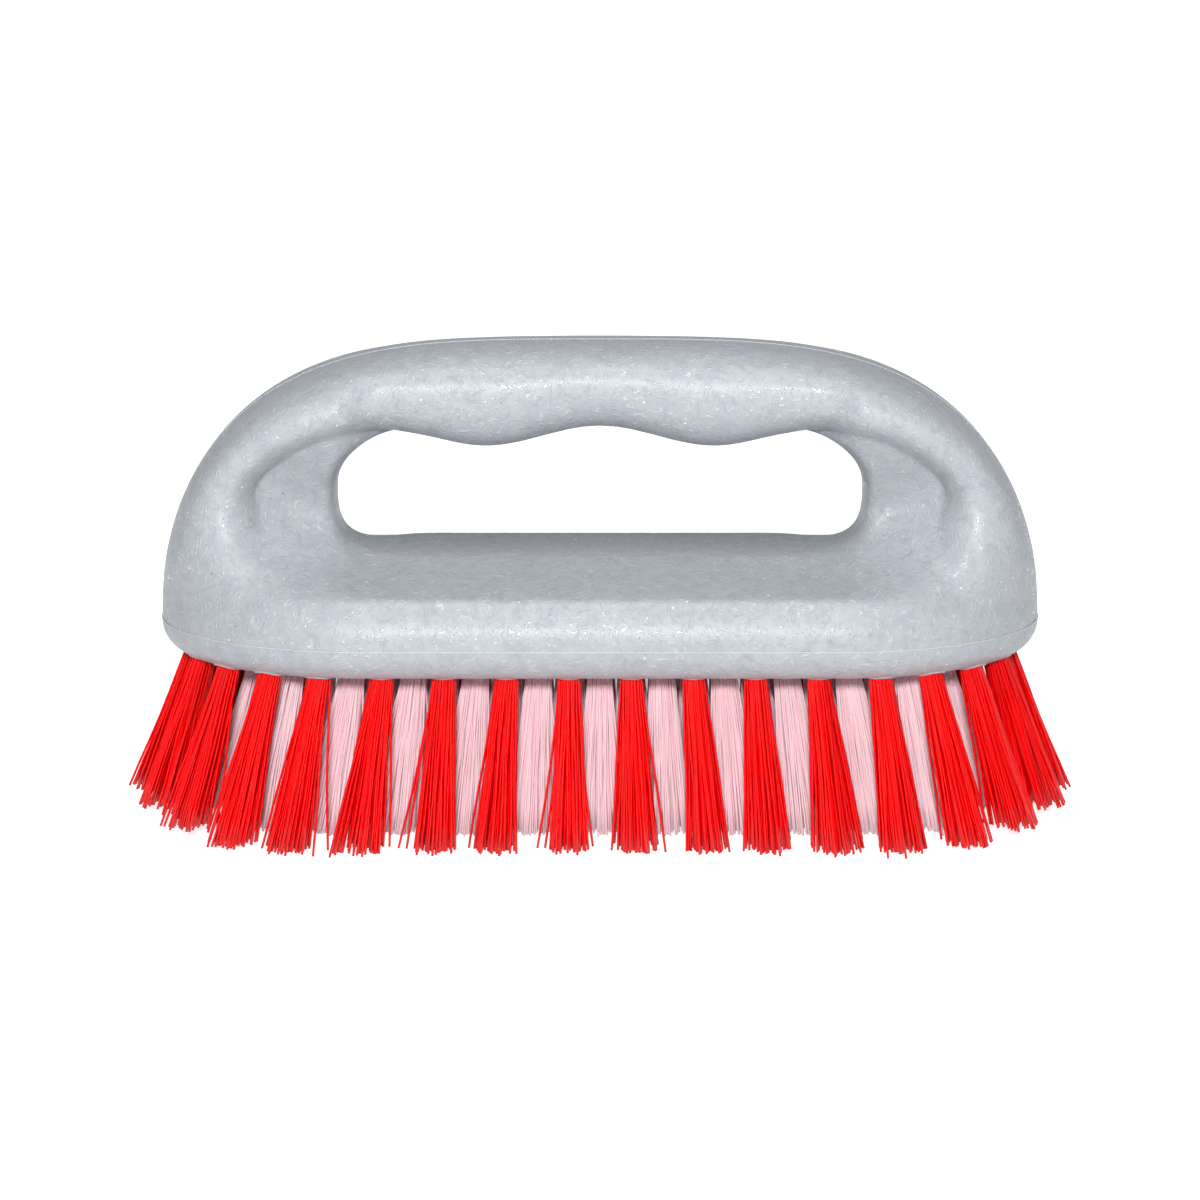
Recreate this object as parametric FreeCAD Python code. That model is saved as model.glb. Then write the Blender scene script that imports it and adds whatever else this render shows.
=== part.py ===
import FreeCAD, Part
import math
import os
from FreeCAD import Vector

os.makedirs("parts", exist_ok=True)

# A hand scrub brush: a moulded block with a loop handle, and tufts of bristle set in drilled holes.
# X runs along the brush, Y across it, Z up. The origin is under the middle, where the bristles are trimmed.

# Handle block: overall sizes in millimetres, heights measured from its flat underside.
body_length = 155.6
body_width = 60.0
body_height = 55.2
seam_height = 5.8
seam_lip = 0.08
bottom_rounding = 5.4
hidden_keel = 16.0
arch_length_power_share = 3.53
arch_height_power_share = 2.10
plan_straight_share = 0.515

# Slab under the opening: its bulging side, and the flank that climbs from it to the opening and the legs.
shoulder_inset = 3.0
shoulder_rise = 8.7
shoulder_power_share = 14.0
leg_climb = 30.0
leg_foot_run = 35.0
flank_power_share = 1.2
flank_drop_share = 6.0
hollow_power_share = 3.2

# Finger opening: its floor, its round ends and the hollows for the fingers.
opening_floor = 18.3
floor_width = 21.0
floor_rounding = 1.0
opening_length = 93.0
opening_end_radius = 11.4
opening_end_height = 28.5
corner_power_share = 3.0
side_hollow_height = 39.2
middle_hollow_height = 40.4
finger_rib_height = 36.8
finger_rib_place = 20.1

# Tube of the grip and legs, and the thinner web between it and the round nose at the opening's ends.
tube_height = 11.3
leg_flare = 8.0
flare_top = 33.0
grip_width = 26.0
leg_width = 28.6
tube_power_share = 2.6
web_width = 12.4
web_start = 32.0
bowl_depth = 3.8
bowl_height = 24.0
bowl_reach = 13.0
bowl_top_depth = 8.0
bowl_top_reach = 20.0
nose_run = 9.0
nose_width = 3.0
nose_rounding = 2.6
blend_power_share = 4.0

# Tufts: root, tip and trim.
trim_length = 30.8
root_diameter = 4.4
tip_diameter = 9.0
edge_margin = 7.5
end_margin = 6.7
outer_side_count = 10
outer_end_count = 7
inner_side_count = 9
inner_end_count = 3
centre_row_count = 10
fan_share = 0.12
end_trim_rise = 4.5
hole_depth = 7.6
hole_clearance = 0.05

# The outer bundles part into locks, and spread and lean as use has pushed them.
lock_count = 7
lock_point_count = 4
lock_root_share = 0.97
lock_groove_share = 0.30
row_spread_shares = (1.0, 1.12, 0.96, 1.02, 0.84, 1.08, 0.98, 1.03, 1.15, 1.0)
row_lean_shares = (0.0, 0.03, 0.12, -0.06, 0.03, 0.04, 0.08, -0.10, -0.07, -0.15)
end_spread_share = 1.04
end_lean_share = 0.17

# Flat wire anchors, one in the fold of each tuft.
anchor_length = 5.4
anchor_height = 1.8
anchor_thickness = 0.4
anchor_clearance = 0.03
fold_thickness = 1.2

# One overrun serves all cuts.
overrun = 20.0
full_turn = 360
hit_share = 1e-7

half_length = body_length / 2
half_width = body_width / 2
half_opening = opening_length / 2
arch_height = body_height - seam_height
flank_rise = opening_floor - seam_height - shoulder_rise
end_centre_x = half_opening - opening_end_radius
outer_ring_radius = half_width - edge_margin
inner_ring_radius = outer_ring_radius / 2
tuft_straight = half_length - end_margin - outer_ring_radius
tuft_pitch = 2 * tuft_straight / (outer_side_count - 1)

# Where each section of the body stands, and how finely its outline is followed.
grip_station_shares = (0.0, 0.06, 0.17, 0.30, 0.44, 0.58, 0.72, 0.86)
base_station_shares = (0.86, 0.66, 0.44, 0.22, 0.06, 0.0)
end_station_count = 40
outline_point_count = 36
fine_step_count = 400
keel_weight_share = 0.6


def arch_reach(height):
    """Half-length of the body at a height above its underside."""
    above = height - seam_height
    span = arch_height if above > 0 else hidden_keel
    rise_share = min(abs(above) / span, 1)
    return half_length * (1 - rise_share ** arch_height_power_share) ** (1 / arch_length_power_share)


def arch_top(x):
    """Height of the body's outline above its underside, over or under the middle plane."""
    out_share = (x / half_length) ** arch_length_power_share
    return (1 - out_share) ** (1 / arch_height_power_share)


def smooth_share(value, low, high):
    share = min(max((value - low) / (high - low), 0), 1)
    return share * share * (3 - 2 * share)


def plan_share(x, height):
    """How much of the full width is left at a place along the brush."""
    reach = arch_reach(height)
    if reach <= 0:
        return 0
    past_share = (x / reach - plan_straight_share) / (1 - plan_straight_share)
    return math.sqrt(max(1 - max(past_share, 0) ** 2, 0))


def round_share(share):
    """A quarter round that rises steeply from zero and levels out at one."""
    rest_share = 1 - min(max(share, 0), 1)
    return (1 - rest_share ** tube_power_share) ** (1 / tube_power_share)


def nose_share(x):
    """How far the opening's flat floor has turned into the round nose of its end."""
    return smooth_share(x, end_centre_x - nose_run / 3, end_centre_x + nose_run)


def rim_half(x, height):
    """Half the width beside the opening: the floor's, turning towards the ends into the dished web's."""
    bowl = bowl_depth * smooth_share(bowl_height - height, 0, bowl_reach)
    bowl += bowl_top_depth * smooth_share(height - bowl_height, 0, bowl_top_reach)
    return floor_width / 2 + (web_width / 2 + bowl - floor_width / 2) * nose_share(x)


def slab_half(x, height, depth):
    """Half the slab's thickness in Y: keel, bulging side, and flank climbing to the opening or a leg."""
    rise = height - seam_height
    wide = half_width * plan_share(x, height)
    if rise <= 0:
        keel_share = min(-rise / hidden_keel, 1)
        return wide * (1 - keel_share ** arch_height_power_share) ** (1 / arch_length_power_share)
    rim = rim_half(x, height) * round_share(depth / tube_height)
    inset_share = shoulder_inset / half_width
    bend_share = (rise / shoulder_rise) ** 3
    side = wide * (1 - inset_share * 2 * bend_share / (1 + bend_share))
    foot_share = smooth_share(x, end_centre_x, end_centre_x + leg_foot_run)
    climb = flank_rise + (leg_climb - flank_rise) * foot_share
    along_share = smooth_share(x, end_centre_x - nose_run / 2, end_centre_x + leg_foot_run)
    power = flank_power_share + (hollow_power_share - flank_power_share) * 4 * along_share * (1 - along_share)
    left_share = max(1 - (rise - shoulder_rise) / climb, 0)
    below_share = max(left_share - 1, 0)
    foot = max(wide * (1 - inset_share) - rim, 0)
    spread_share = 1 + power * below_share + flank_drop_share * below_share ** 2
    flank = rim + foot * (spread_share if below_share else left_share ** power)
    if min(side, flank) <= 0:
        return 0
    return (side ** -shoulder_power_share + flank ** -shoulder_power_share) ** (-1 / shoulder_power_share)


def rim_nose(x, over_opening):
    """Flat and rounding of the edge at the opening: crisp at its floor, a round nose at its ends."""
    if over_opening:
        web_share = smooth_share(x, web_start, half_opening)
        return nose_width / 2 * web_share, nose_rounding * web_share
    crisp = floor_width / 2 - floor_rounding
    flat = crisp + (nose_width / 2 - crisp) * nose_share(x)
    return flat, floor_rounding + (nose_rounding - floor_rounding) * nose_share(x)


def half_thickness(x, height, reach, depth, over_opening):
    """Half the body's thickness in Y, where reach and depth are measured from its inner and outer outline."""
    web_share = smooth_share(x, web_start, half_opening)
    fill_share = 1 - web_share if over_opening else 0
    tall = tube_height + leg_flare * (1 - smooth_share(height, opening_floor, flare_top))
    tall += (reach + depth - tall) * fill_share
    across_share = min(abs(1 - 2 * depth / tall), 1)
    tube = grip_width + (leg_width - grip_width) * smooth_share(x, 0, half_length)
    tube *= round_share(1 - across_share) * smooth_share(height, seam_height, opening_floor) / 2
    slab = slab_half(x, height, depth) * (1 - fill_share)
    half = (slab ** blend_power_share + tube ** blend_power_share) ** (1 / blend_power_share)
    flat, rounding = rim_nose(x, over_opening)
    return flat + (half - flat) * round_share(reach / rounding) if reach < rounding else half


def grip_underside(x):
    """Height of the finger hollows and ribs under the grip."""
    if x < finger_rib_place:
        swell_share = (1 + math.cos(math.pi * x / finger_rib_place)) / 2
        return finger_rib_height + (middle_hollow_height - finger_rib_height) * swell_share
    run = (x - finger_rib_place) / (end_centre_x - finger_rib_place)
    swell_share = (1 - math.cos(math.pi * run)) / 2
    return finger_rib_height + (side_hollow_height - finger_rib_height) * swell_share


def outline_hit(angle):
    """Where a ray from the centre of the opening's end meets the body's outline."""
    near = 0
    far = body_length
    while far - near > half_length * hit_share:
        middle = (near + far) / 2
        x = end_centre_x + middle * math.cos(angle)
        height = opening_end_height + middle * math.sin(angle)
        inside = seam_height - hidden_keel < height < body_height and x < arch_reach(height)
        if inside:
            near = middle
        else:
            far = middle
    return end_centre_x + near * math.cos(angle), opening_end_height + near * math.sin(angle)


def spokes():
    """Pairs of inner and outer points round half of the opening, from the crown to the keel."""
    pairs = []
    for share in grip_station_shares:
        x = share * end_centre_x
        pairs.append(((x, grip_underside(x)), (x, seam_height + arch_height * arch_top(x))))
    for step in range(end_station_count + 1):
        angle = math.pi / 2 - math.pi * step / end_station_count
        tall = side_hollow_height - opening_end_height
        if angle < 0:
            tall = opening_end_height - opening_floor
        power_share = 1 if angle > 0 else 2 / corner_power_share
        inner_x = end_centre_x + opening_end_radius * math.cos(angle) ** power_share
        rise_share = math.copysign(abs(math.sin(angle)) ** power_share, angle)
        inner = (inner_x, opening_end_height + tall * rise_share)
        pairs.append((inner, outline_hit(angle)))
    for share in base_station_shares:
        x = share * end_centre_x
        pairs.append(((x, opening_floor), (x, seam_height - hidden_keel * arch_top(x))))
    return pairs


def section_points(inner, outer):
    """One closed outline across the body, its points evenly spaced along it."""
    length = math.hypot(outer[0] - inner[0], outer[1] - inner[1])
    over_opening = inner[1] > opening_end_height
    flat, rounding = rim_nose(inner[0], over_opening)
    spots = [Vector(inner[0], 0, trim_length + inner[1])]
    travelled = [0]
    for step in range(fine_step_count + 1):
        share = (1 - math.cos(math.pi * step / fine_step_count)) / 2
        x = inner[0] + (outer[0] - inner[0]) * share
        height = inner[1] + (outer[1] - inner[1]) * share
        half = flat if step == 0 else 0
        if 0 < step < fine_step_count:
            half = half_thickness(x, height, length * share, length * (1 - share), over_opening)
        spots.append(Vector(x, half, trim_length + height))
        run = spots[-1].distanceToPoint(spots[-2])
        travelled.append(travelled[-1] + run * (1 if height > seam_height else keel_weight_share))
    front = []
    for number in range(1, outline_point_count + 1):
        wanted = travelled[-1] * number / (outline_point_count + 1)
        step = next(i for i in range(len(spots) - 1) if travelled[i + 1] >= wanted)
        part_share = (wanted - travelled[step]) / (travelled[step + 1] - travelled[step])
        front.append(spots[step] + (spots[step + 1] - spots[step]) * part_share)
    back = [Vector(p.x, -p.y, p.z) for p in reversed(front)]
    return [spots[0]] + front + [spots[-1]] + back


def mean_parameters(outlines):
    """Spline parameters shared by all outlines, from their mean spacing."""
    count = len(outlines[0])
    total = [0.0] * (count + 1)
    for points in outlines:
        closed = points + points[:1]
        runs = [closed[i].distanceToPoint(closed[i + 1]) for i in range(count)]
        whole = sum(runs)
        reached = 0
        for i, run in enumerate(runs):
            reached += run / whole
            total[i + 1] += reached / len(outlines)
    return total


def upper_body():
    """The ring of the grip, legs and base above the seam: a skin through half the sections, mirrored."""
    outlines = [section_points(inner, outer) for inner, outer in spokes()]
    parameters = mean_parameters(outlines)
    curves = []
    for points in outlines:
        curve = Part.BSplineCurve()
        curve.interpolate(Points=points, PeriodicFlag=True, Parameters=parameters)
        curves.append(curve)
    skin = Part.BSplineSurface()
    skin.buildFromNSections(curves)
    caps = [Part.Face(Part.Wire(curve.toShape())) for curve in (curves[0], curves[-1])]
    shell = Part.Shell([skin.toShape()] + caps)
    shell.sewShape()
    half = Part.Solid(shell)
    below = Part.makeBox(2 * body_length, 2 * body_length, body_length,
                         Vector(-body_length, -body_length, trim_length + seam_height - body_length))
    half = half.cut(below)
    return half.fuse(half.mirror(Vector(0, 0, 0), Vector(1, 0, 0))).removeSplitter()


def base_block():
    """The part below the seam, a little proud: straight sides, elliptical ends, rounded lower edge."""
    straight = half_length * plan_straight_share
    reach = half_length + seam_lip
    width = half_width + seam_lip
    centre = Vector(straight, 0, trim_length)
    ellipse = Part.Ellipse(Vector(reach, 0, trim_length), Vector(straight, width, trim_length), centre)
    right = Part.Arc(ellipse, -math.pi / 2, math.pi / 2).toShape()
    left = right.mirror(Vector(0, 0, 0), Vector(1, 0, 0))
    front = Part.makeLine(Vector(-straight, -width, trim_length), Vector(straight, -width, trim_length))
    back = Part.makeLine(Vector(straight, width, trim_length), Vector(-straight, width, trim_length))
    plan = Part.Wire(Part.__sortEdges__([right, back, left, front]))
    block = Part.Face(plan).extrude(Vector(0, 0, seam_height))
    lower = [edge for edge in block.Edges if edge.BoundBox.ZMax < trim_length + seam_height / 2]
    return block.makeFillet(bottom_rounding, lower)


def tuft_places():
    """Root places on the underside, as X and Y: outer ring, inner rows, inner ends and centre row."""
    outer = []
    for side in (-1, 1):
        for step in range(outer_side_count):
            outer.append((tuft_pitch * step - tuft_straight, side * outer_ring_radius))
        for step in range(1, outer_end_count + 1):
            angle = math.pi * step / (outer_end_count + 1) - math.pi / 2
            reach = tuft_straight + outer_ring_radius * math.cos(angle)
            outer.append((side * reach, outer_ring_radius * math.sin(angle)))
    inner_straight = tuft_pitch * (inner_side_count - 1) / 2
    widest_angle = math.pi / 2 - (tuft_straight - inner_straight) / inner_ring_radius
    rows = []
    ends = []
    for side in (-1, 1):
        rows.append([(tuft_pitch * step - inner_straight, side * inner_ring_radius)
                     for step in range(inner_side_count)])
        angles = [widest_angle * (2 * step / (inner_end_count - 1) - 1) for step in range(inner_end_count)]
        ends.append([(side * (tuft_straight + inner_ring_radius * math.cos(angle)),
                      inner_ring_radius * math.sin(angle)) for angle in angles])
    centre_straight = tuft_pitch * (centre_row_count - 1) / 2
    centre = [(tuft_pitch * step - centre_straight, 0) for step in range(centre_row_count)]
    return outer, rows, ends, centre


def set_in(shape, place):
    """Moves a shape made about its own Z, with zero at the hole's floor, on to a tuft's leaning axis."""
    down = Vector(place[0] * fan_share, place[1] * fan_share, -trim_length).normalize()
    turn = FreeCAD.Rotation(Vector(1, 0, 0), Vector(0, 0, 0), down, "ZXY")
    floor = Vector(place[0], place[1], trim_length) - down * hole_depth
    shape.Placement = FreeCAD.Placement(floor, turn)
    return shape


def round_ended(radius, start, lower):
    """A round bar with a domed top, revolved, whose lower profile points are given."""
    top = Vector(0, 0, start)
    dome_side = Vector(radius, 0, start + radius)
    dome_middle = Vector(radius * math.sqrt(0.5), 0, start + radius * (1 - math.sqrt(0.5)))
    edges = [Part.Arc(top, dome_middle, dome_side).toShape()]
    points = [dome_side] + [Vector(reach, 0, along) for reach, along in lower]
    points.append(Vector(0, 0, points[-1].z))
    points.append(top)
    edges += [Part.makeLine(points[i], points[i + 1]) for i in range(len(points) - 1)]
    return Part.Face(Part.Wire(edges)).revolve(Vector(0, 0, 0), Vector(0, 0, 1), full_turn)


def anchor_bar(grow):
    """The flat wire across the fold, or with a clearance the space that it takes."""
    length = anchor_length + 2 * grow
    thickness = anchor_thickness + 2 * grow
    height = anchor_height + 2 * grow
    return Part.makeBox(length, thickness, height, Vector(-length / 2, -thickness / 2, fold_thickness - grow))


def drilled_hole(place):
    """The blind hole of one tuft, with the slots that its anchor bites into the wall."""
    radius = root_diameter / 2 + hole_clearance
    bore = round_ended(radius, 0, [(radius, hole_depth + bottom_rounding)])
    return set_in(bore.fuse(anchor_bar(anchor_clearance)), place)


def trimmed(bundle, place):
    """A bundle with its fold cut out round the anchor, set in its hole and trimmed at the tip."""
    bundle = set_in(bundle.cut(anchor_bar(anchor_clearance)), place)
    past_share = max(abs(place[0]) - tuft_straight, 0) / outer_ring_radius
    trim = end_trim_rise * past_share ** 2
    below = Part.makeBox(2 * body_length, 2 * body_length, body_length,
                         Vector(-body_length, -body_length, trim - body_length))
    return bundle.cut(below).Solids[0]


def tuft(place):
    """A bundle folded over its anchor, straight in its hole, spreading evenly to its tip."""
    root = root_diameter / 2
    spread_share = (tip_diameter - root_diameter) / 2 / trim_length
    reach = trim_length + overrun
    profile = [(root, hole_depth), (root + reach * spread_share, hole_depth + reach)]
    return trimmed(round_ended(root, hole_clearance, profile), place)


def lock_outline(along, radius, groove_share, lean, turn):
    """Closed outline of a bundle at one level, drawn in between its locks."""
    points = []
    count = lock_count * lock_point_count
    for step in range(count):
        angle = 2 * math.pi * step / count
        reach = radius * (1 - groove_share * (1 + math.cos(lock_count * angle)) / 2)
        points.append(Vector(lean + reach * math.cos(angle + turn), reach * math.sin(angle + turn), along))
    curve = Part.BSplineCurve()
    curve.interpolate(Points=points, PeriodicFlag=True)
    return Part.Wire(curve.toShape())


def outer_tuft(place, spread_share, lean_share, number):
    """A bundle that is round in its hole and parts below it into locks."""
    root = root_diameter / 2
    past_share = (trim_length + overrun) / trim_length
    tip = root + (tip_diameter * spread_share / 2 - root) * past_share
    lean = tip_diameter * lean_share * past_share
    stem = round_ended(root, hole_clearance, [(root, hole_depth)])
    near = lock_outline(hole_depth, root * lock_root_share, 0, 0, number)
    far = lock_outline(hole_depth + trim_length + overrun, tip, lock_groove_share, lean, number)
    return trimmed(stem.fuse(Part.makeLoft([near, far], True, True)), place)


def anchor(place):
    return set_in(anchor_bar(0), place)


def handle_block(places):
    """The moulded block: the upper body, the rounded base below the seam, and the drilled holes."""
    body = upper_body().fuse(base_block())
    return body.cut([drilled_hole(place) for place in places]).Solids[0]


def write(name, solids):
    shape = solids[0] if len(solids) == 1 else Part.makeCompound(solids)
    shape.exportStep("parts/" + name + ".step")


outer_places, row_places, end_places, centre_places = tuft_places()
row_shares = list(zip(row_spread_shares, row_lean_shares))
end_leans = [end_lean_share * math.sin(math.pi * step / (outer_end_count + 1))
             for step in range(1, outer_end_count + 1)]
left_shares = [(end_spread_share, -lean) for lean in end_leans]
right_shares = [(end_spread_share, lean) for lean in end_leans]
outer_shares = row_shares + left_shares + row_shares[::-1] + right_shares
inner_places = row_places[0] + row_places[1] + end_places[0] + end_places[1]

write("handle_block", [handle_block(outer_places + inner_places + centre_places)])
for number, place in enumerate(outer_places, 1):
    spread_share, lean_share = outer_shares[number - 1]
    write("outer_tuft_%02d" % number, [outer_tuft(place, spread_share, lean_share, number)])
for side, name in enumerate(("front", "back")):
    write("inner_tufts_%s_row" % name, [tuft(place) for place in row_places[side]])
for side, name in enumerate(("left", "right")):
    write("inner_tufts_%s_end" % name, [tuft(place) for place in end_places[side]])
write("centre_row_tufts", [tuft(place) for place in centre_places])
write("anchors_outer_ring", [anchor(place) for place in outer_places])
write("anchors_inner_ring", [anchor(place) for place in inner_places])
write("anchors_centre_row", [anchor(place) for place in centre_places])
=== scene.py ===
import bmesh
import bpy
import math
import numpy as np
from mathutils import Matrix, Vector
from mathutils.bvhtree import BVHTree


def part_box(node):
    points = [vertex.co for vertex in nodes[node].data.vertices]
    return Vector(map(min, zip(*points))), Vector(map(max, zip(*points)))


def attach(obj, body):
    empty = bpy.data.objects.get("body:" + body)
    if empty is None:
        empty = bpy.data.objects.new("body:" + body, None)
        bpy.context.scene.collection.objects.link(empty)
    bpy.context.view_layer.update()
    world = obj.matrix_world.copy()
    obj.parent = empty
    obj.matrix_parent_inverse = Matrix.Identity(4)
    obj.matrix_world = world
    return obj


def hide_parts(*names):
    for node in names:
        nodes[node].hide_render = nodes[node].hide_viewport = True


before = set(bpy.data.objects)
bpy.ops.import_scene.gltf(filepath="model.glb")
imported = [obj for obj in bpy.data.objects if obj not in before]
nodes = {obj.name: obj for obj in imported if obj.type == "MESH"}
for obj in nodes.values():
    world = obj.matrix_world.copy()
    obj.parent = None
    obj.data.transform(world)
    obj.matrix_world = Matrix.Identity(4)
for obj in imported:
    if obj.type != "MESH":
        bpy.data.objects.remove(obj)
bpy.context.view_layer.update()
mm = 0.001  # all sizes below are in millimetres times this
weld = 0.001 * mm  # corners nearer than this are one
sliver = 0.02 * mm  # room for rounding where a level is looked for
polypropyleneIor = 1.49
print("frame: %d nodes" % len(nodes))


def hexColour(code):  # sRGB hex to linear
    shares = [int(code[i:i + 2], 16) / 255 for i in (0, 2, 4)]
    return [s / 12.92 if s <= 0.04045 else ((s + 0.055) / 1.055) ** 2.4 for s in shares] + [1.0]


def addNode(tree, kind, settings=None, links=None):  # one node, its settings and what feeds it
    node = tree.nodes.new(kind)
    for name, value in (settings or {}).items():
        if isinstance(name, str) and hasattr(node, name):
            setattr(node, name, value)
        else:
            node.inputs[name].default_value = value
    for name, source in (links or {}).items():
        tree.links.new(source, node.inputs[name])
    return node


def newMaterial(name):
    material = bpy.data.materials.new(name)
    material.use_nodes = True
    material.node_tree.nodes.clear()
    return material, material.node_tree


def placeInMm(tree):  # where a point lies on its piece, so that pattern sizes read in millimetres
    place = addNode(tree, "ShaderNodeTexCoord").outputs["Object"]
    scaled = addNode(tree, "ShaderNodeVectorMath", {"operation": "SCALE", "Scale": 1 / mm}, {0: place})
    return scaled.outputs[0]


def dress(name, material):  # a CAD node gets its material
    nodes[name].data.materials.clear()
    nodes[name].data.materials.append(material)


def addPiece(name, points, faces, material):  # a mesh that rides on the brush
    mesh = bpy.data.meshes.new(name)
    mesh.from_pydata(points, [], faces)
    mesh.update()
    mesh.shade_smooth()
    mesh.materials.append(material)
    piece = bpy.data.objects.new(name, mesh)
    bpy.context.scene.collection.objects.link(piece)
    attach(piece, "root")
    return piece


# Foamed polypropylene, injection moulded: cool grey, satin, with curled flow marks that catch the light,
# a cloudy tone where the melt met the mould, and a few specks of regrind. The marks' crests carry a painted
# highlight and their troughs painted shade.
blockLook = {
    "lightTone": "a9adb2",
    "darkTone": "a0a5ab",
    "speckAndShadeTone": "797e84",
    "paleSpeckAndHighlightTone": "e6eaee",
    "patterns": {"cloud": (2.6, 4.0), "warp": (3.0, 1.0), "flow": (3.4, 1.0), "gaps": (1.1, 1.0),
                 "grain": (0.5, 2.0)},  # size in mm, and levels of finer detail
    "cloudRange": (0.35, 0.65),
    "warpReach": 1.8,
    "strokes": 11,
    "strokeEdge": 0.45,
    "gapRange": (0.38, 0.54),
    # the stroke crests get a painted highlight and the troughs painted shade: the light and shade of their
    # relief painted in
    "markPaintedHighlight": 0.17,
    "furrowPaintedShade": 0.12,
    "markHeight": 0.07 * mm,
    "grainShare": 0.30,
    "speckSpacing": 2.4,
    "speckSize": 0.34,
    "darkShare": 0.28,
    "paleShare": 0.25,
    "roughness": (0.15, 0.44),
    "gloss": 0.5,
}


def foamedPolypropylene():
    look = blockLook
    material, tree = newMaterial("foamedPolypropyleneMoulded")
    inMm = placeInMm(tree)
    noise = {}
    for pattern, (size, detail) in look["patterns"].items():
        noise[pattern] = addNode(tree, "ShaderNodeTexNoise", {"Scale": 1 / size, "Detail": detail},
                                 {"Vector": inMm})

    # strokes: the crests and troughs of a wave over a bent noise, broken up by gaps
    fromZero = addNode(tree, "ShaderNodeVectorMath", {"operation": "SUBTRACT", 1: (0.5, 0.5, 0.5)},
                       {0: noise["warp"].outputs["Color"]})
    warpStep = addNode(tree, "ShaderNodeVectorMath", {"operation": "SCALE", "Scale": look["warpReach"]},
                       {0: fromZero.outputs[0]})
    curled = addNode(tree, "ShaderNodeVectorMath", {"operation": "ADD"}, {0: inMm, 1: warpStep.outputs[0]})
    tree.links.new(curled.outputs[0], noise["flow"].inputs["Vector"])
    turns = addNode(tree, "ShaderNodeMath", {"operation": "MULTIPLY", 1: look["strokes"] * 2 * math.pi},
                    {0: noise["flow"].outputs["Fac"]})
    swell = addNode(tree, "ShaderNodeMath", {"operation": "SINE"}, {0: turns.outputs[0]})
    crest = addNode(tree, "ShaderNodeMapRange",
                    {"interpolation_type": "SMOOTHSTEP", "From Min": look["strokeEdge"], "From Max": 1.0},
                    {"Value": swell.outputs[0]})
    trough = addNode(tree, "ShaderNodeMapRange",
                     {"interpolation_type": "SMOOTHSTEP", "From Min": -look["strokeEdge"], "From Max": -1.0},
                     {"Value": swell.outputs[0]})
    unbroken = addNode(tree, "ShaderNodeMapRange",
                       {"interpolation_type": "SMOOTHSTEP", "From Min": look["gapRange"][0],
                        "From Max": look["gapRange"][1]}, {"Value": noise["gaps"].outputs["Fac"]})
    marks = addNode(tree, "ShaderNodeMath", {"operation": "MULTIPLY"},
                    {0: crest.outputs[0], 1: unbroken.outputs[0]})
    furrowShadeMask = addNode(tree, "ShaderNodeMath", {"operation": "MULTIPLY"},
                      {0: trough.outputs[0], 1: unbroken.outputs[0]})
    relief = addNode(tree, "ShaderNodeMath", {"operation": "MULTIPLY_ADD", 1: look["grainShare"]},
                     {0: noise["grain"].outputs["Fac"], 2: marks.outputs[0]})
    bump = addNode(tree, "ShaderNodeBump", {"Strength": 1.0, "Distance": look["markHeight"]},
                   {"Height": relief.outputs[0]})

    # specks: some cells hold a dark one, some a pale one
    cells = addNode(tree, "ShaderNodeTexVoronoi", {"Scale": 1 / look["speckSpacing"]}, {"Vector": inMm})
    speck = addNode(tree, "ShaderNodeMath",
                    {"operation": "LESS_THAN", 1: look["speckSize"] / 2 / look["speckSpacing"]},
                    {0: cells.outputs["Distance"]})
    lot = addNode(tree, "ShaderNodeSeparateColor", links={"Color": cells.outputs["Color"]}).outputs["Red"]
    isDark = addNode(tree, "ShaderNodeMath", {"operation": "GREATER_THAN", 1: 1 - look["darkShare"]},
                     {0: lot})
    isPale = addNode(tree, "ShaderNodeMath", {"operation": "LESS_THAN", 1: look["paleShare"]}, {0: lot})
    darkSpeck = addNode(tree, "ShaderNodeMath", {"operation": "MULTIPLY"},
                        {0: speck.outputs[0], 1: isDark.outputs[0]})
    paleSpeck = addNode(tree, "ShaderNodeMath", {"operation": "MULTIPLY"},
                        {0: speck.outputs[0], 1: isPale.outputs[0]})

    # colour: clouds first, then a painted highlight on the stroke crests, painted shade in their troughs, and
    # the specks over them
    cloudShare = addNode(tree, "ShaderNodeMapRange",
                         {"From Min": look["cloudRange"][0], "From Max": look["cloudRange"][1]},
                         {"Value": noise["cloud"].outputs["Fac"]})
    paintedHighlight = addNode(tree, "ShaderNodeMath", {"operation": "MULTIPLY", 1: look["markPaintedHighlight"]},
                   {0: marks.outputs[0]})
    paintedShade = addNode(tree, "ShaderNodeMath", {"operation": "MULTIPLY", 1: look["furrowPaintedShade"]},
                    {0: furrowShadeMask.outputs[0]})
    colour = addNode(tree, "ShaderNodeMix", {"data_type": "RGBA", 6: hexColour(look["darkTone"]),
                                             7: hexColour(look["lightTone"])}, {0: cloudShare.outputs[0]})
    for share, tone in ((paintedHighlight, "paleSpeckAndHighlightTone"), (paintedShade, "speckAndShadeTone"), (darkSpeck, "speckAndShadeTone"),
                        (paleSpeck, "paleSpeckAndHighlightTone")):
        colour = addNode(tree, "ShaderNodeMix", {"data_type": "RGBA", 7: hexColour(look[tone])},
                         {0: share.outputs[0], 6: colour.outputs[2]})

    onMarks, between = look["roughness"]
    roughness = addNode(tree, "ShaderNodeMapRange", {"To Min": between, "To Max": onMarks},
                        {"Value": marks.outputs[0]})
    shader = addNode(tree, "ShaderNodeBsdfPrincipled",
                     {"IOR": polypropyleneIor, "Specular IOR Level": look["gloss"]},
                     {"Base Color": colour.outputs[2], "Roughness": roughness.outputs[0],
                      "Normal": bump.outputs[0]})
    addNode(tree, "ShaderNodeOutputMaterial", links={"Surface": shader.outputs[0]})
    return material


blockPlastic = foamedPolypropylene()
dress("handle_block", blockPlastic)
print("handle block: plastic set")


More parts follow.
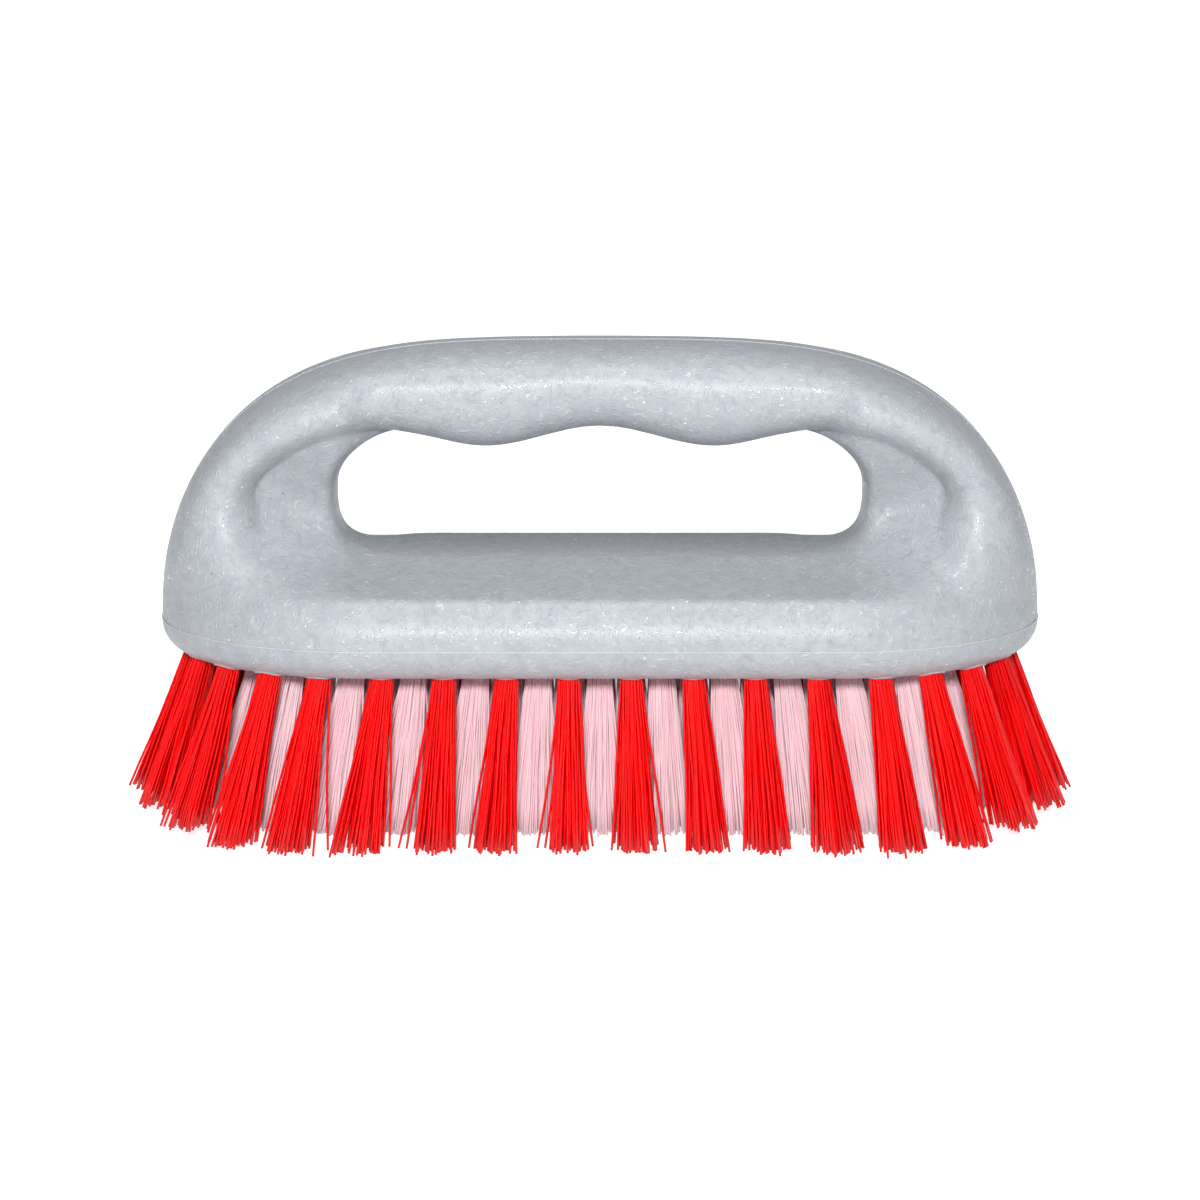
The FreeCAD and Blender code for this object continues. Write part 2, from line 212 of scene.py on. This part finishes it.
# Galvanised steel wire, drawn flat: dull zinc grey with fine draw lines.
wireLook = {"tone": "b9babd", "drawnTone": "8f9195", "lineSpacing": 0.12, "lineDetail": 2.0,
            "roughness": 0.38}


def galvanisedWire():
    look = wireLook
    material, tree = newMaterial("galvanisedSteelDrawn")
    lines = addNode(tree, "ShaderNodeTexNoise",
                    {"Scale": 1 / look["lineSpacing"], "Detail": look["lineDetail"]},
                    {"Vector": placeInMm(tree)})
    tone = addNode(tree, "ShaderNodeMix", {"data_type": "RGBA", 6: hexColour(look["drawnTone"]),
                                           7: hexColour(look["tone"])}, {0: lines.outputs["Fac"]})
    shader = addNode(tree, "ShaderNodeBsdfPrincipled", {"Metallic": 1.0, "Roughness": look["roughness"]},
                     {"Base Color": tone.outputs[2]})
    addNode(tree, "ShaderNodeOutputMaterial", links={"Surface": shader.outputs[0]})
    return material


anchorWire = galvanisedWire()
for name in ("anchors_outer_ring", "anchors_inner_ring", "anchors_centre_row"):
    dress(name, anchorWire)
print("anchors: wire set")


# Polypropylene monofilament, drawn: the red ones dyed a clear strong colour, the pale ones white with a pink
# tint that is painted reflection of the red tufts beside them; a waxy gloss, each filament a little
# lighter or darker than the next, and nicks that glint.
redLook = {
    "tones": ("d80002", "f40204"),
    "shader": {"Roughness": 0.16, "Specular IOR Level": 0.32, "Subsurface Weight": 0.5,
               "Subsurface Radius": (1.0, 0.25, 0.25), "Subsurface Scale": 0.2 * mm},
    "thickness": 0.48 * mm,
    "count": 84,
}
palePaintedPinkLook = {
    # pink tint: painted reflection of the red tufts, on filaments that are white
    "tones": ("ffd0da", "ffe4e9"),
    "shader": {"Roughness": 0.36, "Specular IOR Level": 0.35, "Sheen Weight": 0.35},
    "thickness": 0.33 * mm,
    "count": 180,
}
nick = {"size": 0.8, "detail": 2.0, "depth": 0.06 * mm, "strength": 0.6}


def drawnMonofilament(name, look):
    material, tree = newMaterial(name)
    single = addNode(tree, "ShaderNodeNewGeometry").outputs["Random Per Island"]
    tone = addNode(tree, "ShaderNodeMix", {"data_type": "RGBA", 6: hexColour(look["tones"][0]),
                                           7: hexColour(look["tones"][1])}, {0: single})
    nicks = addNode(tree, "ShaderNodeTexNoise", {"Scale": 1 / nick["size"], "Detail": nick["detail"]},
                    {"Vector": placeInMm(tree)})
    bump = addNode(tree, "ShaderNodeBump", {"Strength": nick["strength"], "Distance": nick["depth"]},
                   {"Height": nicks.outputs["Fac"]})
    shader = addNode(tree, "ShaderNodeBsdfPrincipled", {"IOR": polypropyleneIor, **look["shader"]},
                     {"Base Color": tone.outputs[2], "Normal": bump.outputs[0]})
    addNode(tree, "ShaderNodeOutputMaterial", links={"Surface": shader.outputs[0]})
    return material


redBristle = drawnMonofilament("polypropyleneMonofilamentRed", redLook)
paleBristle = drawnMonofilament("polypropyleneMonofilamentPale", palePaintedPinkLook)
print("bristles: materials set")


# Bundles of bristle, each placed, spread and leaned by its own solid.
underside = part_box("handle_block")[0].z
goldenTurn = math.pi * (3 - math.sqrt(5))
bundle = {
    "sides": 5,
    "rings": 8,
    "rootRadius": 2.15 * mm,
    "inHole": 4.4 * mm,
    "neckBand": 0.4 * mm,
    "locks": 7,
    "lockPull": 0.55,
    "bend": 1.12,
    "wave": 0.16 * mm,
    "waveTurn": 5.0,
    "cutJitter": 0.35 * mm,
    "shortShare": 0.05,
    "shortBy": 2.2 * mm,
    "strayShare": 0.045,
    "strayReach": 3.2 * mm,
    "scatter": 0.28 * mm,
}


def tuftLines(name):  # for each tuft of a node: hole mouth, tip, and the tip's reach, groove depth and turn
    shape = bmesh.new()
    shape.from_mesh(nodes[name].data)
    bmesh.ops.remove_doubles(shape, verts=shape.verts, dist=weld)
    lines = []
    seen = set()
    for start in shape.verts:
        if start in seen:
            continue
        seen.add(start)
        tuft = [start]
        for vert in tuft:  # grows while it is walked, until the whole solid is in it
            for edge in vert.link_edges:
                other = edge.other_vert(vert)
                if other not in seen:
                    seen.add(other)
                    tuft.append(other)
        spots = np.array([vert.co for vert in tuft])
        low = spots[spots[:, 2] < spots[:, 2].min() + sliver]
        tip = (low.min(0) + low.max(0)) / 2
        neck = spots[np.abs(spots[:, 2] - underside) < bundle["neckBand"]]
        mouth = (neck.min(0) + neck.max(0)) / 2
        rim = (low[:, 0] - tip[0]) + 1j * (low[:, 1] - tip[1])
        reach = np.abs(rim)
        turn = np.angle((reach * np.exp(1j * bundle["locks"] * np.angle(rim))).sum()) / bundle["locks"]
        lines.append((mouth, tip, reach.max(), 1 - reach.min() / reach.max(), turn))
    shape.free()
    return lines


def bristlePaths(mouth, tip, reach, groove, lockTurn, look, draw):  # one line of points for each filament
    count = look["count"]
    half = look["thickness"] / 2
    axis = (tip - mouth) / np.linalg.norm(tip - mouth)
    across = np.cross([0.0, 1.0, 0.0], axis)
    across /= np.linalg.norm(across)
    along = np.cross(axis, across)
    rank = np.arange(count) + 0.5
    turn = rank * goldenTurn + draw.uniform(0, 2 * math.pi)
    out = np.sqrt(rank / count)
    root = (out * (bundle["rootRadius"] - half))[:, None] * np.stack((np.cos(turn), np.sin(turn)), 1)
    aside = bundle["locks"] * (turn - lockTurn)
    turn = turn - out * bundle["lockPull"] * np.sin(aside) / bundle["locks"]  # filaments gather into locks
    edge = 1 - groove * (1 - np.cos(bundle["locks"] * (turn - lockTurn))) / 2
    ends = (out * edge * (reach - half))[:, None] * np.stack((np.cos(turn), np.sin(turn)), 1)
    ends += draw.normal(0, bundle["scatter"], (count, 2))
    stray = draw.random(count) < bundle["strayShare"]
    ends[stray] += draw.uniform(-1, 1, (stray.sum(), 2)) * bundle["strayReach"]
    cut = np.abs(draw.normal(0, bundle["cutJitter"], count))
    short = draw.random(count) < bundle["shortShare"]
    cut[short] += draw.uniform(0, bundle["shortBy"], short.sum())
    drop = mouth[2] + ends[:, 0] * across[2] + ends[:, 1] * along[2] - tip[2] - cut
    length = drop / -axis[2]
    phase = draw.uniform(0, 2 * math.pi, (count, 2))
    lines = []
    for share in np.linspace(0, 1, bundle["rings"]):
        down = -bundle["inHole"] + (length + bundle["inHole"]) * share
        free = np.clip(down / length, 0, 1)[:, None]
        side = root + (ends - root) * free ** bundle["bend"]
        swing = free * (1 - free) * 4  # 1 halfway down, 0 at both ends
        side += bundle["wave"] * np.sin(phase + bundle["waveTurn"] * free) * swing
        lines.append(mouth + down[:, None] * axis + side[:, :1] * across + side[:, 1:] * along)
    return np.stack(lines, 1)


def filamentTubes(paths, thickness):  # points and faces of closed tubes along the lines
    sides = bundle["sides"]
    count, rings = paths.shape[:2]
    run = np.gradient(paths, axis=1)
    run /= np.linalg.norm(run, axis=2, keepdims=True)
    first = np.cross(run, [0.0, 1.0, 0.0])
    first /= np.linalg.norm(first, axis=2, keepdims=True)
    second = np.cross(run, first)
    corner = np.arange(sides) * 2 * math.pi / sides
    ring = (np.cos(corner)[:, None] * first[:, :, None] + np.sin(corner)[:, None] * second[:, :, None])
    points = (paths[:, :, None] + ring * thickness / 2).reshape(-1, 3)
    faces = []
    for filament in range(count):
        base = filament * rings * sides
        for level in range(rings - 1):
            for side in range(sides):
                here = base + level * sides + side
                beside = base + level * sides + (side + 1) % sides
                faces.append((here, beside, beside + sides, here + sides))
        faces.append(tuple(range(base + sides - 1, base - 1, -1)))
        last = base + (rings - 1) * sides
        faces.append(tuple(range(last, last + sides)))
    return points, faces


def bristleTufts(name, material, look, draw):  # gives back where the node's tufts leave the block
    lines = tuftLines(name)
    paths = np.concatenate([bristlePaths(*line, look, draw) for line in lines])
    points, faces = filamentTubes(paths, look["thickness"])
    piece = addPiece("bristles_" + name, points.tolist(), faces, material)
    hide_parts(name)
    return [line[0] for line in lines]


draw = np.random.default_rng(20)
mouths = []
for name in sorted(nodes):
    if name.startswith("outer_tuft"):
        mouths += bristleTufts(name, redBristle, redLook, draw)
for name in sorted(nodes):
    if name.startswith(("inner_tufts", "centre_row")):
        mouths += bristleTufts(name, paleBristle, palePaintedPinkLook, draw)
print("tufts: %d" % len(mouths))


# The plastic pushed up round each hole when its tuft was driven in.
lip = {"radius": 2.5 * mm, "thickness": 0.36 * mm, "height": 0.34 * mm, "seat": 2.75 * mm, "turns": 28,
       "sides": 8}


def holeLips(places):
    mesh = nodes["handle_block"].data
    skin = BVHTree.FromPolygons([v.co for v in mesh.vertices], [p.vertices for p in mesh.polygons])
    points = []
    faces = []
    turns, sides = lip["turns"], lip["sides"]
    for place in places:
        base = len(points)
        for turn in range(turns):
            angle = 2 * math.pi * turn / turns
            outX, outY = math.cos(angle), math.sin(angle)
            under = Vector((place[0] + lip["seat"] * outX, place[1] + lip["seat"] * outY, 0))
            level = skin.ray_cast(under, Vector((0, 0, 1)))[0].z
            for side in range(sides):
                around = 2 * math.pi * side / sides
                reach = lip["radius"] + lip["thickness"] * math.cos(around)
                points.append((place[0] + reach * outX, place[1] + reach * outY,
                               level + lip["height"] * math.sin(around)))
        for turn in range(turns):
            for side in range(sides):
                corner = [(turn, side), (turn + 1, side), (turn + 1, side + 1), (turn, side + 1)]
                faces.append([base + (t % turns) * sides + s % sides for t, s in corner])
    return addPiece("tuftHoleLips", points, faces, blockPlastic)


holeLips(mouths)
print("hole lips: %d" % len(mouths))


# Fine flash where the two halves of the mould met: over the crown of the handle and along the seam.
# Polypropylene trimmed with a knife, given a tone paler than the block: a painted highlight, so the edge
# reads as a thin light line.
flash = {"thickness": 0.07 * mm, "seamHeight": 5.8 * mm, "aboveSeam": 0.6 * mm, "outside": 0.95,
         # tone: paler than the block, a painted highlight along the flash
         "tone": "c8ccd0", "roughness": 0.3}


def trimmedWithPaintedHighlight():
    material, tree = newMaterial("polypropyleneTrimmedPaintedHighlight")
    shader = addNode(tree, "ShaderNodeBsdfPrincipled",
                     {"Base Color": hexColour(flash["tone"]), "IOR": polypropyleneIor,
                      "Roughness": flash["roughness"]})
    addNode(tree, "ShaderNodeOutputMaterial", links={"Surface": shader.outputs[0]})
    return material


flashPaintedHighlight = trimmedWithPaintedHighlight()


def outerSection(point, normal):  # the longest loop in which a plane cuts the block
    shape = bmesh.new()
    shape.from_mesh(nodes["handle_block"].data)
    bmesh.ops.remove_doubles(shape, verts=shape.verts, dist=weld)
    cut = bmesh.ops.bisect_plane(shape, geom=shape.verts[:] + shape.edges[:] + shape.faces[:],
                                 plane_co=point, plane_no=normal, clear_inner=True)["geom_cut"]
    edges = {e for e in cut if isinstance(e, bmesh.types.BMEdge)}
    loops = []
    while edges:
        edge = min(edges, key=lambda e: e.index)
        edges.discard(edge)
        loop = [edge.verts[0], edge.verts[1]]
        while True:
            onward = [e for e in loop[-1].link_edges if e in edges]
            if not onward:
                break
            edges.discard(onward[0])
            loop.append(onward[0].other_vert(loop[-1]))
        loops.append([vert.co.copy() for vert in loop])
    shape.free()
    return max(loops, key=lambda loop: sum((b - a).length for a, b in zip(loop, loop[1:])))


def flashLine(name, spots):
    curve = bpy.data.curves.new(name, "CURVE")
    curve.dimensions = "3D"
    curve.bevel_depth = flash["thickness"]
    curve.bevel_resolution = 1
    spline = curve.splines.new("POLY")
    spline.points.add(len(spots) - 1)
    for point, spot in zip(spline.points, spots):
        point.co = (*spot, 1.0)
    line = bpy.data.objects.new(name, curve)
    bpy.context.scene.collection.objects.link(line)
    mesh = bpy.data.meshes.new_from_object(line)
    bpy.data.objects.remove(line)
    points = [tuple(vert.co) for vert in mesh.vertices]
    faces = [tuple(face.vertices) for face in mesh.polygons]
    return addPiece(name, points, faces, flashPaintedHighlight)


seam = underside + flash["seamHeight"]
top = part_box("handle_block")[1]
crown = [spot for spot in outerSection((0, 0, 0), (0, 1, 0)) if spot.z > seam + flash["aboveSeam"]
         and math.hypot(spot.x / top.x, (spot.z - seam) / (top.z - seam)) > flash["outside"]]  # not the holes
start = max(range(len(crown)), key=lambda i: (crown[i] - crown[i - 1]).length)
flashLine("crownFlash", crown[start:] + crown[:start])
seamLoop = outerSection((0, 0, seam - sliver), (0, 0, 1))
flashLine("seamFlash", seamLoop)
print("flash: crown %d points, seam %d points" % (len(crown), len(seamLoop)))


# Pale floor that stays white to the camera and keeps the brush's shadow, and a white surround.
studio = {
    "floorTone": "f4f4f4",
    "floorRoughness": 0.9,
    "floorHalf": 4.0,
    "floorGlow": (0.0, 0.75),
    "glowReach": (0.06, 0.11),
    "shadeCentre": (0, 0.085, 0),
    "shadeShape": (1.25, 1, 1),
    "fillTone": "eef1f5",
    "fillStrength": 0.32,
    "mirrored": 0.25,
    "lamps": {"key": {"elevation": 20, "turn": -1, "distance": 1.15, "size": 0.10, "power": 10.6},
              "top": {"elevation": 65, "turn": 4, "distance": 1.0, "size": 0.45, "power": 3.6}},
}


def paleFloor():
    half = studio["floorHalf"]
    mesh = bpy.data.meshes.new("floor")
    corners = [(-half, -half, 0), (half, -half, 0), (half, half, 0), (-half, half, 0)]
    mesh.from_pydata(corners, [], [(0, 1, 2, 3)])
    material, tree = newMaterial("paleCardMatt")
    seen = addNode(tree, "ShaderNodeLightPath")
    shown = addNode(tree, "ShaderNodeMath", {"operation": "MAXIMUM"},
                    {0: seen.outputs["Is Camera Ray"], 1: seen.outputs["Is Glossy Ray"]})
    place = addNode(tree, "ShaderNodeTexCoord").outputs["Object"]
    shaped = addNode(tree, "ShaderNodeVectorMath", {"operation": "MULTIPLY", 1: studio["shadeShape"]},
                     {0: place})
    away = addNode(tree, "ShaderNodeVectorMath", {"operation": "DISTANCE", 1: studio["shadeCentre"]},
                   {0: shaped.outputs[0]})
    byPlace = addNode(tree, "ShaderNodeMapRange",
                      {"interpolation_type": "SMOOTHSTEP", "From Min": studio["glowReach"][0],
                       "From Max": studio["glowReach"][1], "To Min": studio["floorGlow"][0],
                       "To Max": studio["floorGlow"][1]}, {"Value": away.outputs["Value"]})
    glow = addNode(tree, "ShaderNodeMath", {"operation": "MULTIPLY"},
                   {0: shown.outputs[0], 1: byPlace.outputs[0]})  # none behind, where the shadow lies
    shader = addNode(tree, "ShaderNodeBsdfPrincipled",
                     {"Base Color": hexColour(studio["floorTone"]), "Roughness": studio["floorRoughness"],
                      "Specular IOR Level": 0.0, "Emission Color": (1, 1, 1, 1)},
                     {"Emission Strength": glow.outputs[0]})
    addNode(tree, "ShaderNodeOutputMaterial", links={"Surface": shader.outputs[0]})
    mesh.materials.append(material)
    floor = bpy.data.objects.new("floor", mesh)
    bpy.context.scene.collection.objects.link(floor)


def whiteSurround():
    world = bpy.data.worlds.new("surround")
    world.use_nodes = True
    tree = world.node_tree
    tree.nodes.clear()
    path = addNode(tree, "ShaderNodeLightPath")
    mirrored = addNode(tree, "ShaderNodeMath", {"operation": "MULTIPLY", 1: studio["mirrored"]},
                       {0: path.outputs["Is Glossy Ray"]})
    either = addNode(tree, "ShaderNodeMath", {"operation": "MAXIMUM"},
                     {0: path.outputs["Is Camera Ray"], 1: mirrored.outputs[0]})
    shown = addNode(tree, "ShaderNodeMath", {"operation": "MAXIMUM"},
                    {0: either.outputs[0], 1: path.outputs["Is Transmission Ray"]})
    fill = addNode(tree, "ShaderNodeBackground", {"Color": hexColour(studio["fillTone"]),
                                                  "Strength": studio["fillStrength"]})
    white = addNode(tree, "ShaderNodeBackground", {"Color": (1, 1, 1, 1), "Strength": 1.0})
    both = addNode(tree, "ShaderNodeMixShader",
                   links={0: shown.outputs[0], 1: fill.outputs[0], 2: white.outputs[0]})
    addNode(tree, "ShaderNodeOutputWorld", links={"Surface": both.outputs[0]})
    bpy.context.scene.world = world


def studioLamp(name, place):
    lamp = bpy.data.lights.new(name, "AREA")
    lamp.size = place["size"]
    lamp.energy = place["power"]
    holder = bpy.data.objects.new(name, lamp)
    up = math.radians(place["elevation"])
    turn = math.radians(place["turn"])
    way = Vector((math.sin(turn) * math.cos(up), -math.cos(turn) * math.cos(up), math.sin(up)))
    holder.location = Vector((0, 0, underside)) + way * place["distance"]
    holder.rotation_euler = way.to_track_quat("Z", "Y").to_euler()
    bpy.context.scene.collection.objects.link(holder)


paleFloor()
whiteSurround()
for name, place in studio["lamps"].items():
    studioLamp(name, place)
print("studio: floor, surround and %d lamps" % len(studio["lamps"]))


# The photograph's view: from the front, a little above, through a long lens.
view = {"elevation": 13.0, "distance": 0.800, "aimHeight": underside + 8.13 * mm, "pixels": 1200,
        "focalPixels": 4494.6, "sensor": 36.0}


def photoCamera():
    lens = bpy.data.cameras.new("photoCamera")
    lens.sensor_width = view["sensor"]
    lens.lens = view["sensor"] * view["focalPixels"] / view["pixels"]
    up = math.radians(view["elevation"])
    back, rise = view["distance"] * math.cos(up), view["distance"] * math.sin(up)
    camera = bpy.data.objects.new("photoCamera", lens)
    camera.location = (0, -back, view["aimHeight"] + rise)
    camera.rotation_euler = (math.pi / 2 - up, 0, 0)
    bpy.context.scene.collection.objects.link(camera)
    bpy.context.scene.camera = camera


photoCamera()
bpy.context.scene.view_settings.view_transform = "Standard"
print("camera: set")
